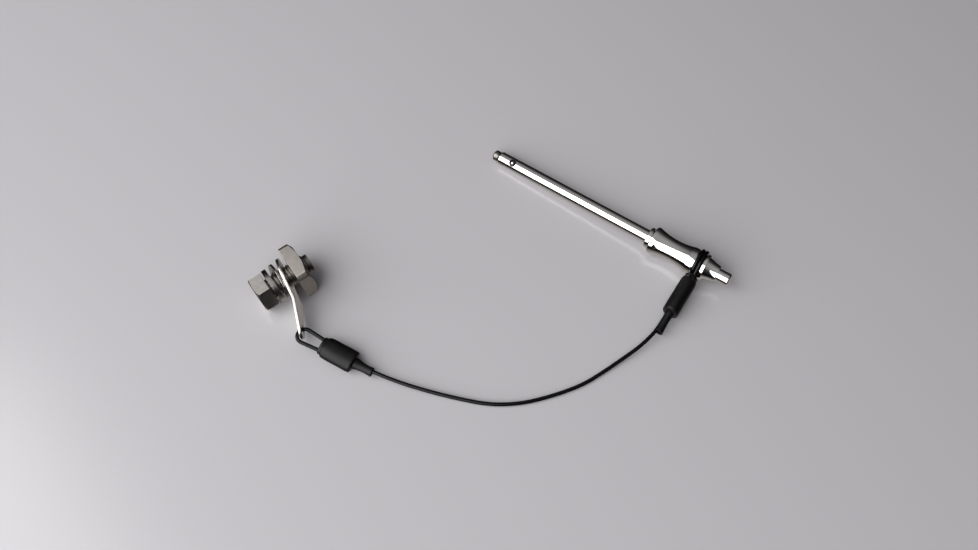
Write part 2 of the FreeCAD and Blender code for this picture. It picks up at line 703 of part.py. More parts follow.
def make_mounting_tab():
    """Bent pear-shaped plate: a large hole for the bolt, a small one for the cable."""
    half = dim("tab_plate") / 2
    head, tip = dim("tab_head_dia") / 2, dim("tab_end_dia") / 2
    station = dim("tab_bend_station")
    angle = mm("tab_bend_angle")
    cosine, sine = math.cos(math.radians(angle)), math.sin(math.radians(angle))
    shift = math.tan(math.radians(angle) / 2)
    arm = dim("tab_arm_length") + tip + 2
    side = plain_sketch("tab_side", FreeCAD.Placement(V(), FreeCAD.Rotation(V(1, 0, 0), 90)))
    outline(side, [
        (head * -1 - 2, half * -1),
        (station - half * shift, half * -1),
        (station + arm * cosine - half * sine, arm * -sine - half * cosine),
        (station + arm * cosine + half * sine, arm * -sine + half * cosine),
        (station + half * shift, half),
        (head * -1 - 2, half),
    ])
    strip = prism("tab_strip", side, dim("tab_head_dia") + 4)
    plan = plain_sketch("tab_plan", FreeCAD.Placement())
    far = mm("tab_bend_station") + mm("tab_arm_length") * cosine
    pear_outline(plan, head.value, tip.value, far)
    pear = prism("tab_pear", plan, dim("tab_head_dia") * 2)
    blank = doc.addObject("Part::MultiCommon", "tab_blank")
    blank.Shapes = [strip, pear]
    bolt_hole = doc.addObject("Part::Cylinder", "tab_bolt_hole")
    bind(bolt_hole, "Radius", (dim("thread_dia") + dim("tab_bolt_clearance")) / 2)
    bind(bolt_hole, "Height", dim("tab_plate") * 2)
    bind(bolt_hole, ".Placement.Base.z", dim("tab_plate") * -1)
    cable_hole = doc.addObject("Part::Cylinder", "tab_cable_hole")
    bind(cable_hole, "Radius", dim("tab_cable_hole") / 2)
    bind(cable_hole, "Height", dim("tab_plate") * 3)
    tilt = FreeCAD.Rotation(V(0, 1, 0), angle)
    sunk = small_hole.sub(tilt.multVec(V(0, 0, mm("tab_plate") * 1.5)))
    cable_hole.Placement = FreeCAD.Placement(sunk, tilt)
    holes = doc.addObject("Part::MultiFuse", "tab_holes")
    holes.Shapes = [bolt_hole, cable_hole]
    tab = doc.addObject("Part::Cut", "tab_cut")
    tab.Base, tab.Tool = blank, holes
    keep(tab, "mounting_tab", TAB)


def pear_outline(sketch, head, tip, far):
    """Two round ends joined by their common tangents."""
    lean_angle = math.acos((head - tip) / far)
    up = V(math.cos(lean_angle), math.sin(lean_angle), 0)
    down = V(up.x, -up.y, 0)
    far_centre = V(far, 0, 0)
    turn = 2 * math.pi - lean_angle
    z_axis = V(0, 0, 1)
    sketch.addGeometry(Part.ArcOfCircle(Part.Circle(V(), z_axis, head), lean_angle, turn), False)
    sketch.addGeometry(Part.LineSegment(down * head, far_centre.add(down * tip)), False)
    sketch.addGeometry(Part.ArcOfCircle(Part.Circle(far_centre, z_axis, tip),
                                        -lean_angle, lean_angle), False)
    sketch.addGeometry(Part.LineSegment(far_centre.add(up * tip), up * head), False)


def make_hex_bolt():
    """Hexagon head with a turned edge, and a thread cut full length as a row of grooves."""
    head_height, radius = dim("head_height"), dim("thread_dia") / 2
    top = head_height + dim("bolt_length")
    pitch = mm("thread_pitch")
    threads = int(mm("bolt_length") / pitch) - 1
    rod = turned("bolt_rod", [
        (0, head_height - 1),
        (radius, head_height - 1),
        (radius, top - dim("bolt_end_edge")),
        (radius - dim("bolt_end_edge"), top),
        (0, top),
    ])
    before = rod.Shape.Volume
    vee = rod.newObject("Sketcher::SketchObject", "thread_vee")
    attach(vee, rod, "XZ_Plane")
    start = head_height + pitch / 2
    outline(vee, [
        (radius - dim("thread_depth"), start + pitch * 0.44),
        (radius + 0.1, start + pitch * 0.02),
        (radius + 0.1, start + pitch * 0.98),
        (radius - dim("thread_depth"), start + pitch * 0.56),
    ])
    groove = rod.newObject("PartDesign::Groove", "thread_groove")
    groove.Profile = vee
    groove.ReferenceAxis = (vee, ["V_Axis"])
    groove.Angle = 360.0
    doc.recompute()
    row = rod.newObject("PartDesign::LinearPattern", "thread_row")
    row.Originals = [groove]
    row.Direction = (vee, ["V_Axis"])
    bind(row, "Length", dim("thread_pitch") * (threads - 1))
    row.Occurrences = threads
    rod.Tip = row
    doc.recompute()
    if rod.Shape.Volume >= before:
        raise RuntimeError("the thread cuts nothing")
    hexagon = doc.addObject("Part::Prism", "head_hexagon")
    hexagon.Polygon = 6
    bind(hexagon, "Circumradius", dim("head_flats") / 2 / math.cos(math.pi / 6))
    bind(hexagon, "Height", head_height)
    flats = dim("head_flats") / 2
    crown = turned("head_crown", [
        (0, 0),
        (flats - dim("head_edge") / 2, 0),
        (flats + dim("head_edge") * 2, dim("head_edge") * 1.44),
        (flats + dim("head_edge") * 2, head_height),
        (0, head_height),
    ])
    head = doc.addObject("Part::MultiCommon", "bolt_head")
    head.Shapes = [hexagon, crown]
    bolt = doc.addObject("Part::MultiFuse", "bolt_fused")
    bolt.Shapes = [head, rod]
    keep(bolt, "hex_bolt", BOLT)


def make_square_nut():
    """Square nut with cut corners and a turned edge on its outer face."""
    side = dim("nut_side")
    block = doc.addObject("Part::Box", "nut_block")
    bind(block, "Length", side)
    bind(block, "Width", side)
    bind(block, "Height", dim("nut_height"))
    bind(block, ".Placement.Base.x", side / -2)
    bind(block, ".Placement.Base.y", side / -2)
    corner = side / 2 * math.sqrt(2) - dim("nut_edge")
    diamond = doc.addObject("Part::Prism", "nut_corner_cut")
    diamond.Polygon = 4
    bind(diamond, "Circumradius", corner * math.sqrt(2))
    bind(diamond, "Height", dim("nut_height"))
    crown = turned("nut_crown", [
        (0, 0),
        (corner, 0),
        (corner, dim("nut_height") - dim("nut_edge")),
        (corner - dim("nut_edge") * 2, dim("nut_height")),
        (0, dim("nut_height")),
    ])
    blank = doc.addObject("Part::MultiCommon", "nut_blank")
    blank.Shapes = [block, diamond, crown]
    bore = doc.addObject("Part::Cylinder", "nut_bore")
    bind(bore, "Radius", dim("thread_dia") / 2 + dim("running_gap"))
    bind(bore, "Height", dim("nut_height") + 2)
    bind(bore, ".Placement.Base.z", size(-1))
    nut = doc.addObject("Part::Cut", "nut_cut")
    nut.Base, nut.Tool = blank, bore
    keep(nut, "square_nut", along_bolt(mm("nut_station"), 0.0))


def along_bolt(station, lean_angle):
    """Placement on the bolt's axis; a lean moves the upper side back towards the head."""
    tilt = FreeCAD.Rotation(V(1, 0, 0), -lean_angle)
    return BOLT.multiply(FreeCAD.Placement(V(0, 0, station), tilt))


def make_flat_washer():
    half = dim("flat_washer_plate") / 2
    washer_bore = dim("thread_dia") + dim("flat_washer_clearance")
    body = turned("flat_washer", [
        (washer_bore / 2, half * -1),
        (dim("flat_washer_dia") / 2, half * -1),
        (dim("flat_washer_dia") / 2, half),
        (washer_bore / 2, half),
    ])
    keep(body, "flat_washer", along_bolt(mm("flat_washer_station"), mm("flat_washer_lean")))


def make_lock_washer():
    """Split spring washer: one open turn whose ends stand apart."""
    body = new_body("lock_washer")
    sketch = body.newObject("Sketcher::SketchObject", "lock_washer_section")
    attach(sketch, body, "XZ_Plane")
    inner = (dim("thread_dia") + dim("lock_washer_clearance")) / 2
    outer = dim("lock_washer_dia") / 2
    outline(sketch, [
        (inner, 0),
        (outer, 0),
        (outer, dim("lock_washer_plate")),
        (inner, dim("lock_washer_plate")),
    ])
    turn = body.newObject("PartDesign::AdditiveHelix", "lock_washer_turn")
    turn.Profile = sketch
    turn.ReferenceAxis = (sketch, ["V_Axis"])
    turn.Mode = "height-turns-angle"
    bind(turn, "Height", dim("lock_washer_rise"))
    bind(turn, "Turns", dim("lock_washer_turn"))
    body.Tip = turn
    doc.recompute()
    place = along_bolt(mm("head_height") + mm("lock_washer_gap"), 0.0)
    split = FreeCAD.Rotation(V(0, 0, 1), 35)
    keep(body, "lock_washer", place.multiply(FreeCAD.Placement(V(), split)))


make_shank()
make_nose_plug()
make_grip()
make_rear_cap()
make_release_button()
make_spindle()
make_return_spring()
make_ball("upper_ball", 1)
make_ball("lower_ball", -1)
make_handle_loop()
make_tab_loop()
make_crimp("handle_end", "handle_mouth", "handle_sleeve_length", "handle_tail_length",
           HANDLE_END, -(mm("cable_dia") + mm("turn_gap")) / 2)
make_crimp("tab_end", "tab_mouth", "tab_sleeve_length", "tab_tail_length", TAB_END, 0.0)
cable_length = make_cable()
make_mounting_tab()
make_hex_bolt()
make_square_nut()
make_flat_washer()
make_lock_washer()
doc.recompute()

# ---------------------------------------------------------------- centre the row and write it
CORD = ("handle_loop", "tab_loop", "handle_end_sleeve", "handle_end_ferrule",
        "handle_end_tail_sleeve", "tab_end_sleeve", "tab_end_ferrule", "tab_end_tail_sleeve",
        "lanyard_cable")
solid_box = FreeCAD.BoundBox()
for node in NODES:
    if node.Label not in CORD:
        solid_box.add(node.Shape.optimalBoundingBox(True, False))
shift = V(-solid_box.Center.x, -solid_box.Center.y, -solid_box.ZMin)
for node in NODES:
    node.Placement = FreeCAD.Placement(shift, FreeCAD.Rotation()).multiply(node.Placement)
doc.recompute()

for item in doc.Objects:
    if "Invalid" in item.State or "Error" in item.State:
        raise RuntimeError("%s failed: %s" % (item.Name, item.State))
for node in NODES:
    if node.Shape.isNull() or not node.Shape.isValid():
        raise RuntimeError(node.Label + " has no valid shape")

os.makedirs("parts", exist_ok=True)
for node in NODES:
    node.Shape.exportStep("parts/%s.step" % node.Label)

print("nodes %d, free cable %.1f mm" % (len(NODES), cable_length))
print("shift", shift)
for label, place, centre in (("pin", PIN, V()), ("handle_end", HANDLE_END, V()),
                             ("tab_end", TAB_END, V()), ("tab", TAB, V()),
                             ("cable_hole", TAB, small_hole), ("bolt", BOLT, V())):
    axis = place.Rotation.multVec(V(0, 0, 1))
    print("frame", label, "at", place.multVec(centre).add(shift), "z", axis,
          "x", place.Rotation.multVec(V(1, 0, 0)))
for point in cable_route():
    print("route", point.add(shift))
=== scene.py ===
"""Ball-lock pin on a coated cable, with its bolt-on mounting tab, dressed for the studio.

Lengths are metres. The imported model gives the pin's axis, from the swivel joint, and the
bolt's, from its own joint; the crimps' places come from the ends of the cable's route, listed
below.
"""

import json
import math

import bmesh
import bpy
from mathutils import Matrix, Vector


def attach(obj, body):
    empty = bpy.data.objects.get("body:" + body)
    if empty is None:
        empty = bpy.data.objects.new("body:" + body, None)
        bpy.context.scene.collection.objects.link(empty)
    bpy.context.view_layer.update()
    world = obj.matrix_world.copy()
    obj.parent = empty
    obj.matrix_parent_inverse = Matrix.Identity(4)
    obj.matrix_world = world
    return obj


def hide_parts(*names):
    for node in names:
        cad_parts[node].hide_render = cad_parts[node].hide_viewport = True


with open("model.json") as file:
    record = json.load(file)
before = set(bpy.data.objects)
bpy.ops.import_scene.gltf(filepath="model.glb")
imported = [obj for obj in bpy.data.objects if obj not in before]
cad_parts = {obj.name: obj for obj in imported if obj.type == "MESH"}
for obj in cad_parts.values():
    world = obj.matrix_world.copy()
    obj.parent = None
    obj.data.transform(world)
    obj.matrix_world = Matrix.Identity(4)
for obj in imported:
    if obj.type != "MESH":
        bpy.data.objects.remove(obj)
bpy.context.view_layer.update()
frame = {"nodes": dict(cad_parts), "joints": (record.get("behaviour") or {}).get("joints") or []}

MM = 0.001
UP = Vector((0, 0, 1))
JOINTS = {joint["name"]: joint for joint in frame["joints"]}


# ---------------------------------------------------------------- places
def place(origin, z_axis, x_axis):
    """Matrix with local Z along z_axis and local X as near x_axis as that allows."""
    z = Vector(z_axis).normalized()
    y = z.cross(Vector(x_axis)).normalized()
    turn = Matrix((y.cross(z), y, z)).transposed()
    return Matrix.Translation(Vector(origin)) @ turn.to_4x4()


# control points of the cable's route, from the crimp at the grip to the crimp at the tab
ROUTE = [Vector(point) * MM for point in (
    (83.59, -34.95, 5.60),
    (74.72, -48.80, 4.26),
    (52.61, -64.17, 1.02),
    (36.91, -74.17, 1.02),
    (7.21, -82.57, 1.02),
    (-19.59, -77.47, 1.02),
    (-49.70, -68.47, 2.98),
    (-64.63, -60.43, 4.17),
)]
CABLE = 1.8 * MM
STRAND_PITCH = 11 * MM

GROOVE_STATION = 114.7 * MM
BALL_STATION = 11.4 * MM
SWIVEL = JOINTS["lanyard_swivel"]
GROOVE = Vector(SWIVEL["pos_m"])
PIN_AXIS = Vector(SWIVEL["axis"]).normalized()
BALL_SIDE = -Vector(JOINTS["upper_ball_slide"]["axis"])
PIN = place(GROOVE - PIN_AXIS * GROOVE_STATION, PIN_AXIS, BALL_SIDE)

HANDLE_DIRECTION = (ROUTE[1] - ROUTE[0]).normalized()
HANDLE_END = place(GROOVE, HANDLE_DIRECTION, PIN_AXIS.cross(HANDLE_DIRECTION))
TAB_FERRULE_REAR = 21.7 * MM
TAB_DIRECTION = (ROUTE[-2] - ROUTE[-1]).normalized()
TAB_END = place(ROUTE[-1] - TAB_DIRECTION * TAB_FERRULE_REAR, TAB_DIRECTION,
                UP.cross(TAB_DIRECTION))

BOLT_JOINT = JOINTS["bolt_turn"]
BOLT_AXIS = Vector(BOLT_JOINT["axis"])
BOLT = place(BOLT_JOINT["pos_m"], BOLT_AXIS, BOLT_AXIS.cross(UP))

# ---------------------------------------------------------------- camera
CAMERA_DISTANCE = 480 * MM
CAMERA_ELEVATION = math.radians(62)
CAMERA_AIM = Vector((-0.9, -16.1, 0.1)) * MM
CAMERA_LENS = 37.6
CAMERA_SENSOR = 36

camera_data = bpy.data.cameras.new("studio_camera")
camera_data.lens = CAMERA_LENS
camera_data.sensor_width = CAMERA_SENSOR
camera = bpy.data.objects.new("studio_camera", camera_data)
camera.location = CAMERA_AIM + CAMERA_DISTANCE * Vector(
    (0, -math.cos(CAMERA_ELEVATION), math.sin(CAMERA_ELEVATION)))
camera.rotation_euler = (math.pi / 2 - CAMERA_ELEVATION, 0, 0)
bpy.context.scene.collection.objects.link(camera)
bpy.context.scene.camera = camera


# ---------------------------------------------------------------- material helpers
def linear(code, alpha=1.0):
    """sRGB hex to the linear colour that a shader takes."""
    channels = [int(code[i:i + 2], 16) / 255 for i in (1, 3, 5)]
    return [c / 12.92 if c <= 0.04045 else ((c + 0.055) / 1.055) ** 2.4 for c in channels] \
        + [alpha]


def add(tree, kind, settings=None, **inputs):
    """Add a node; inputs are numbers, colours or the output sockets that feed it."""
    node = tree.nodes.new(kind)
    for name, value in (settings or {}).items():
        setattr(node, name, value)
    for name, value in inputs.items():
        socket = node.inputs[int(name[1:]) if name[0] == "_" else name.replace("_", " ")]
        if isinstance(value, bpy.types.NodeSocket):
            tree.links.new(value, socket)
        else:
            socket.default_value = value
    return node


def new_material(name):
    """Material with an empty tree, its output and the object's own coordinates."""
    material = bpy.data.materials.new(name)
    material.use_nodes = True
    tree = material.node_tree
    tree.nodes.clear()
    output = tree.nodes.new("ShaderNodeOutputMaterial")
    coordinates = tree.nodes.new("ShaderNodeTexCoord")
    return material, tree, output, coordinates


def finish_material(tree, output, shader):
    """Lead the shader to the material's output."""
    tree.links.new(shader.outputs["BSDF"], output.inputs["Surface"])


def blend(tree, factor, first, second):
    """Mix two colours. A Mix node's colour sockets share their names, so they go by number."""
    return add(tree, "ShaderNodeMix", {"data_type": "RGBA"}, _0=factor,
               _6=linear(first), _7=linear(second)).outputs[2]


def by_ray(tree, kind, usual, other):
    """Show one shader to every ray but one kind of Light Path, and another to that kind."""
    path = tree.nodes.new("ShaderNodeLightPath")
    return add(tree, "ShaderNodeMixShader", _0=path.outputs[kind], _1=usual,
               _2=other).outputs["Shader"]


def between(tree, factor, low, high):
    """Spread a 0 to 1 value between two numbers."""
    return add(tree, "ShaderNodeMapRange", _0=factor, _3=low, _4=high).outputs["Result"]


def noise(tree, vector, grain, detail=2.0, roughness=0.5):
    """Noise whose blotches are about one grain across."""
    return add(tree, "ShaderNodeTexNoise", Vector=vector, Scale=1 / grain, Detail=detail,
               Roughness=roughness).outputs["Fac"]


def bands(tree, vector, spacing, direction="X", wander=0.0):
    """Soft lines across one axis, one spacing apart."""
    return add(tree, "ShaderNodeTexWave",
               {"wave_type": "BANDS", "bands_direction": direction},
               Vector=vector, Scale=math.pi / 10 / spacing, Distortion=wander,
               Detail=2.0).outputs["Fac"]


def along(tree, coordinates, matrix):
    """Coordinates turned into a piece's own frame, so that lines follow its axis."""
    inverse = matrix.inverted()
    return add(tree, "ShaderNodeMapping", {"vector_type": "POINT"},
               Vector=coordinates.outputs["Object"],
               Location=inverse.to_translation(),
               Rotation=inverse.to_euler()).outputs["Vector"]


def bump(tree, height, depth):
    """Normal of a relief whose 0 to 1 height is so deep."""
    return add(tree, "ShaderNodeBump", Height=height, Strength=1.0,
               Distance=depth).outputs["Normal"]


# ---------------------------------------------------------------- materials
def polished_stainless(name, matrix, tint="#E4E1DE", turning=0.18 * MM):
    """Turned and polished stainless steel: near mirror, with faint rings from the lathe
    and a breath of haze where it has been handled."""
    material, tree, output, coordinates = new_material(name)
    own = along(tree, coordinates, matrix)
    rings = bands(tree, own, turning, "Z", 0.6)
    haze = noise(tree, coordinates.outputs["Object"], 3.5 * MM, 4.0, 0.6)
    shader = add(tree, "ShaderNodeBsdfPrincipled", Base_Color=linear(tint), Metallic=1.0,
                 Roughness=between(tree, haze, 0.05, 0.11),
                 Normal=bump(tree, rings, 0.0009 * MM))
    finish_material(tree, output, shader)
    return material


def painted_seat_shade(name):
    """Painted shade round a ball's seat: near black, dull finish for the ring laid where the gap
    round the ball lies in shade.
    """
    material, tree, output, coordinates = new_material(name)
    grain = noise(tree, coordinates.outputs["Object"], 0.2 * MM, 3.0)
    shader = add(tree, "ShaderNodeBsdfPrincipled", Base_Color=linear("#060505"),
                 Roughness=between(tree, grain, 0.45, 0.6), Specular_IOR_Level=0.25)
    finish_material(tree, output, shader)
    return material


def spring_wire(name):
    """Drawn spring wire: grey steel with lines along the draw."""
    material, tree, output, coordinates = new_material(name)
    grain = noise(tree, coordinates.outputs["Object"], 0.3 * MM, 3.0)
    shader = add(tree, "ShaderNodeBsdfPrincipled", Base_Color=linear("#A9A6A2"), Metallic=1.0,
                 Roughness=between(tree, grain, 0.25, 0.4))
    finish_material(tree, output, shader)
    return material


def cold_headed_stainless(name, matrix, tint, low, high, grain=0.5 * MM):
    """Cold-formed, tumbled stainless: soft gloss, small dents and a cloudy grain."""
    material, tree, output, coordinates = new_material(name)
    own = along(tree, coordinates, matrix)
    cloud = noise(tree, own, 2.2 * MM, 5.0, 0.6)
    pits = noise(tree, own, grain, 3.0, 0.65)
    colour = blend(tree, cloud, tint, "#8F8A84")
    shader = add(tree, "ShaderNodeBsdfPrincipled", Base_Color=colour, Metallic=1.0,
                 Roughness=between(tree, cloud, low, high),
                 Normal=bump(tree, pits, 0.012 * MM))
    finish_material(tree, output, shader)
    return material


def stamped_steel(name, matrix):
    """Bright rolled strip, stamped and bent: the rolling lines run along the strip."""
    material, tree, output, coordinates = new_material(name)
    own = along(tree, coordinates, matrix)
    stretched = add(tree, "ShaderNodeMapping", {"vector_type": "POINT"}, Vector=own,
                    Scale=(0.12, 1.0, 1.0)).outputs["Vector"]
    lines = noise(tree, stretched, 0.25 * MM, 4.0, 0.6)
    cloud = noise(tree, own, 3.0 * MM, 3.0)
    shader = add(tree, "ShaderNodeBsdfPrincipled", Base_Color=linear("#D2CECA"), Metallic=1.0,
                 Roughness=between(tree, cloud, 0.16, 0.3),
                 Normal=bump(tree, lines, 0.004 * MM))
    finish_material(tree, output, shader)
    return material


def vinyl_coat(name):
    """Extruded vinyl over wire strand: black, glossy, with a slight waviness."""
    material, tree, output, coordinates = new_material(name)
    ripple = noise(tree, coordinates.outputs["Object"], 1.4 * MM, 2.0)
    shader = add(tree, "ShaderNodeBsdfPrincipled", Base_Color=linear("#070708"),
                 Roughness=between(tree, ripple, 0.14, 0.24),
                 IOR=1.5, Specular_IOR_Level=0.2,
                 Normal=bump(tree, ripple, 0.02 * MM))
    finish_material(tree, output, shader)
    return material


def shrink_tube(name):
    """Heat-shrink polyolefin: satin black, with the fine orange peel that shrinking leaves."""
    material, tree, output, coordinates = new_material(name)
    peel = noise(tree, coordinates.outputs["Object"], 0.35 * MM, 3.0)
    cloud = noise(tree, coordinates.outputs["Object"], 4.0 * MM, 3.0)
    colour = blend(tree, cloud, "#060607", "#101012")
    shader = add(tree, "ShaderNodeBsdfPrincipled", Base_Color=colour,
                 Roughness=between(tree, cloud, 0.4, 0.55),
                 IOR=1.5, Specular_IOR_Level=0.28,
                 Normal=bump(tree, peel, 0.012 * MM))
    finish_material(tree, output, shader)
    return material


def crimp_metal(name):
    """Plain aluminium ferrule, dull where the crimping die pressed it."""
    material, tree, output, coordinates = new_material(name)
    cloud = noise(tree, coordinates.outputs["Object"], 1.0 * MM, 3.0)
    shader = add(tree, "ShaderNodeBsdfPrincipled", Base_Color=linear("#C3C4C6"), Metallic=1.0,
                 Roughness=between(tree, cloud, 0.3, 0.5))
    finish_material(tree, output, shader)
    return material


def studio_floor(name):
    """Pale grey sprayed board with a low gloss, which mirrors what lies on it a little.
    Glossy rays, such as those off metal, see a painted reflection instead: an emission that
    runs from near black, where the ray meets the floor along the table, to light grey, where
    it meets it steeply, so that metal gets painted dark undersides."""
    material, tree, output, coordinates = new_material(name)
    cloud = noise(tree, coordinates.outputs["Object"], 60 * MM, 2.0)
    board = add(tree, "ShaderNodeBsdfPrincipled", Base_Color=linear("#B4B2B5"),
                Roughness=between(tree, cloud, 0.2, 0.25), IOR=1.6)
    # painted reflection: glossy rays get an emission coloured by how steeply they come in, not
    # the lit board
    geometry = tree.nodes.new("ShaderNodeNewGeometry")
    steep = add(tree, "ShaderNodeSeparateXYZ",
                Vector=geometry.outputs["Incoming"]).outputs["Z"]
    painted_reflection_ramp = add(tree, "ShaderNodeValToRGB", Fac=steep)
    stops = painted_reflection_ramp.color_ramp.elements
    stops[0].position, stops[0].color = 0.45, linear("#141313")
    stops[1].position, stops[1].color = 0.97, linear("#A8A4A1")
    painted_reflection = add(tree, "ShaderNodeEmission", Color=painted_reflection_ramp.outputs["Color"])
    mixed = by_ray(tree, "Is Glossy Ray", board.outputs["BSDF"], painted_reflection.outputs["Emission"])
    tree.links.new(mixed, output.inputs["Surface"])
    return material


POLISHED = polished_stainless("polished_stainless", PIN)
# painted shade: near black finish for the rings round the balls
SEAT = painted_seat_shade("painted_seat_shade")
NOSE = cold_headed_stainless("burnished_plug", PIN, "#6E6B69", 0.28, 0.4, 0.25 * MM)
BALL_STEEL = polished_stainless("ball_steel", PIN, "#D6D4D2", 0.6 * MM)
SPRING = spring_wire("spring_wire")
COAT = vinyl_coat("vinyl_coat")
SHRINK = shrink_tube("shrink_tube")
CRIMP = crimp_metal("crimp_metal")
TAB_SWING = JOINTS["tab_swing"]
STRIP = place((0, 0, 0), TAB_SWING["axis"],
              Vector(TAB_SWING["pos_m"]) - BOLT.to_translation())
TAB_STEEL = stamped_steel("stamped_steel", STRIP)
BOLT_STEEL = cold_headed_stainless("bolt_stainless", BOLT, "#C6C2BE", 0.27, 0.38)
# painted shade: dark tint for the thread's root, standing in for the shade in its grooves
THREAD_GROOVE_SHADE = cold_headed_stainless("thread_root_shade", BOLT, "#4A4744", 0.45, 0.6)
NUT_STEEL = cold_headed_stainless("nut_stainless", BOLT, "#BFB8B2", 0.34, 0.46)
WASHER_STEEL = cold_headed_stainless("washer_stainless", BOLT, "#D2CFCB", 0.14, 0.26)


def crease(piece, angle):
    """Keep edges sharper than the angle, in degrees, crisp on a smooth-shaded piece."""
    split = piece.modifiers.new("crease", "EDGE_SPLIT")
    split.split_angle = math.radians(angle)


NODE_FINISH = {
    "shank": POLISHED, "nose_plug": NOSE, "grip": POLISHED, "rear_cap": POLISHED,
    "release_button": POLISHED, "spindle": POLISHED, "return_spring": SPRING,
    "upper_ball": BALL_STEEL, "lower_ball": BALL_STEEL, "handle_loop": COAT,
    "tab_loop": COAT, "handle_end_ferrule": CRIMP, "tab_end_ferrule": CRIMP,
    "mounting_tab": TAB_STEEL, "square_nut": NUT_STEEL, "flat_washer": WASHER_STEEL,
    "lock_washer": WASHER_STEEL,
}
BROKEN_EDGE = {
    "mounting_tab": 0.18 * MM, "square_nut": 0.2 * MM, "flat_washer": 0.12 * MM,
    "lock_washer": 0.2 * MM,
}
WELD_DISTANCE = 0.002 * MM


def dress_node(name):
    """Give a CAD node its finish, smooth its curved faces and break its sharp edges."""
    node = frame["nodes"][name]
    node.data.materials.clear()
    node.data.materials.append(NODE_FINISH[name])
    for face in node.data.polygons:
        face.use_smooth = True
    weld = node.modifiers.new("weld", "WELD")
    weld.merge_threshold = WELD_DISTANCE
    if name in BROKEN_EDGE:
        edge = node.modifiers.new("broken_edge", "BEVEL")
        edge.width = BROKEN_EDGE[name]
        edge.segments = 2
        edge.limit_method = "ANGLE"
        edge.angle_limit = math.radians(40)
        flat = node.modifiers.new("flat_faces", "WEIGHTED_NORMAL")
        flat.weight = 100
    else:
        crease(node, 32)


# ---------------------------------------------------------------- shape helpers
def to_piece(name, bm, material, body, matrix=Matrix.Identity(4)):
    """Turn a bmesh in a piece's own frame into an object that rides on a body."""
    bmesh.ops.transform(bm, matrix=matrix, verts=bm.verts)
    mesh = bpy.data.meshes.new(name)
    bm.to_mesh(mesh)
    bm.free()
    for face in mesh.polygons:
        face.use_smooth = True
    mesh.materials.append(material)
    piece = bpy.data.objects.new(name, mesh)
    bpy.context.scene.collection.objects.link(piece)
    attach(piece, body)
    return piece


def first_ring(bm, segments):
    """Start a skin with a ring: its vertices, each with its angle, and its edges."""
    circle = bmesh.ops.create_circle(bm, segments=segments, radius=1.0)["verts"]
    return {vert: math.atan2(vert.co.y, vert.co.x) for vert in circle}, list(bm.edges)


def next_ring(bm, angles, edges):
    """Extrude a ring; each new vertex takes the angle of the one that it was pulled from."""
    grown = bmesh.ops.extrude_edge_only(bm, edges=edges)["geom"]
    fresh = {vert: angles[other] for vert in grown if isinstance(vert, bmesh.types.BMVert)
             for other in (edge.other_vert(vert) for edge in vert.link_edges)
             if other in angles}
    return fresh, [edge for edge in grown if isinstance(edge, bmesh.types.BMEdge)
                   and all(vert in fresh for vert in edge.verts)]


def oval_shell(rings, relief, segments=72):
    """Closed ring of skin: an oval is extruded from ring to ring and bridged to the first.

    Each ring is (station, half width, half height). relief(angle, station) scales it.
    """
    bm = bmesh.new()
    angles, edges = first_ring(bm, segments)
    first = edges
    for i, (station, wide, high) in enumerate(rings):
        if i:
            angles, edges = next_ring(bm, angles, edges)
        for vert, angle in angles.items():
            swell = relief(angle, station)
            vert.co = (wide * math.cos(angle) * swell, high * math.sin(angle) * swell, station)
    bmesh.ops.bridge_loops(bm, edges=first + edges)
    bmesh.ops.recalc_face_normals(bm, faces=bm.faces)
    return bm


def centre_line(points):
    """The points along the smooth line that a route's control points give."""
    curve = bpy.data.curves.new("centre_line", "CURVE")
    curve.dimensions = "3D"
    curve.resolution_u = 48
    spline = curve.splines.new("NURBS")
    spline.points.add(len(points) - 1)
    for point, target in zip(points, spline.points):
        target.co = (*point, 1)
    spline.order_u = 3
    spline.use_endpoint_u = True
    helper = bpy.data.objects.new("centre_line", curve)
    bpy.context.scene.collection.objects.link(helper)
    bpy.context.view_layer.update()
    mesh = bpy.data.meshes.new_from_object(
        helper.evaluated_get(bpy.context.evaluated_depsgraph_get()))
    line = [vert.co.copy() for vert in mesh.vertices]
    bpy.data.objects.remove(helper)
    bpy.data.meshes.remove(mesh)
    return line


def strand_tube(line, diameter, pitch, lobes=6, relief=0.05, segments=36):
    """Coated strand along a line: the coat swells a little over each twisted wire."""
    bm = bmesh.new()
    angles, edges = first_ring(bm, segments)
    first = edges
    travelled = 0.0
    side = UP
    for i, point in enumerate(line):
        if i:
            angles, edges = next_ring(bm, angles, edges)
            travelled += (point - line[i - 1]).length
        tangent = (line[min(i + 1, len(line) - 1)] - line[max(i - 1, 0)]).normalized()
        side = (side - tangent * side.dot(tangent)).normalized()
        other = tangent.cross(side)
        for vert, angle in angles.items():
            twist = lobes * (angle - 2 * math.pi * travelled / pitch)
            radius = diameter / 2 * (1 - relief + relief * math.cos(twist))
            vert.co = point + (side * math.cos(angle) + other * math.sin(angle)) * radius
    for ends in (first, edges):
        bmesh.ops.edgeloop_fill(bm, edges=ends)
    bmesh.ops.recalc_face_normals(bm, faces=bm.faces)
    return bm


# ---------------------------------------------------------------- the cable
cable_line = centre_line(ROUTE)
cable = to_piece("coated_cable", strand_tube(cable_line, CABLE, STRAND_PITCH), COAT,
                 "lanyard")
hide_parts("lanyard_cable")

# ---------------------------------------------------------------- crimped shrink sleeves
WIDE, HIGH = 5.3 * MM, 3.8 * MM
WALL = 0.9 * MM
CABLE_HOLE = 0.98 * MM
CAVITY_GAP = 0.02 * MM
SLEEVE_CREASE = 50

# outline of the thick sleeve: share of its length, and of its full width and height
THICK_OUTLINE = (
    (0.0, 0.78), (0.01, 0.815), (0.05, 0.81), (0.075, 0.83), (0.10, 0.90), (0.125, 0.95),
    (0.16, 0.975), (0.24, 0.99), (0.36, 1.0), (0.5, 0.995), (0.64, 1.0), (0.80, 1.0),
    (0.90, 0.992), (0.945, 0.985), (0.97, 0.97), (0.985, 0.93), (0.99, 0.88), (1.0, 0.80),
)
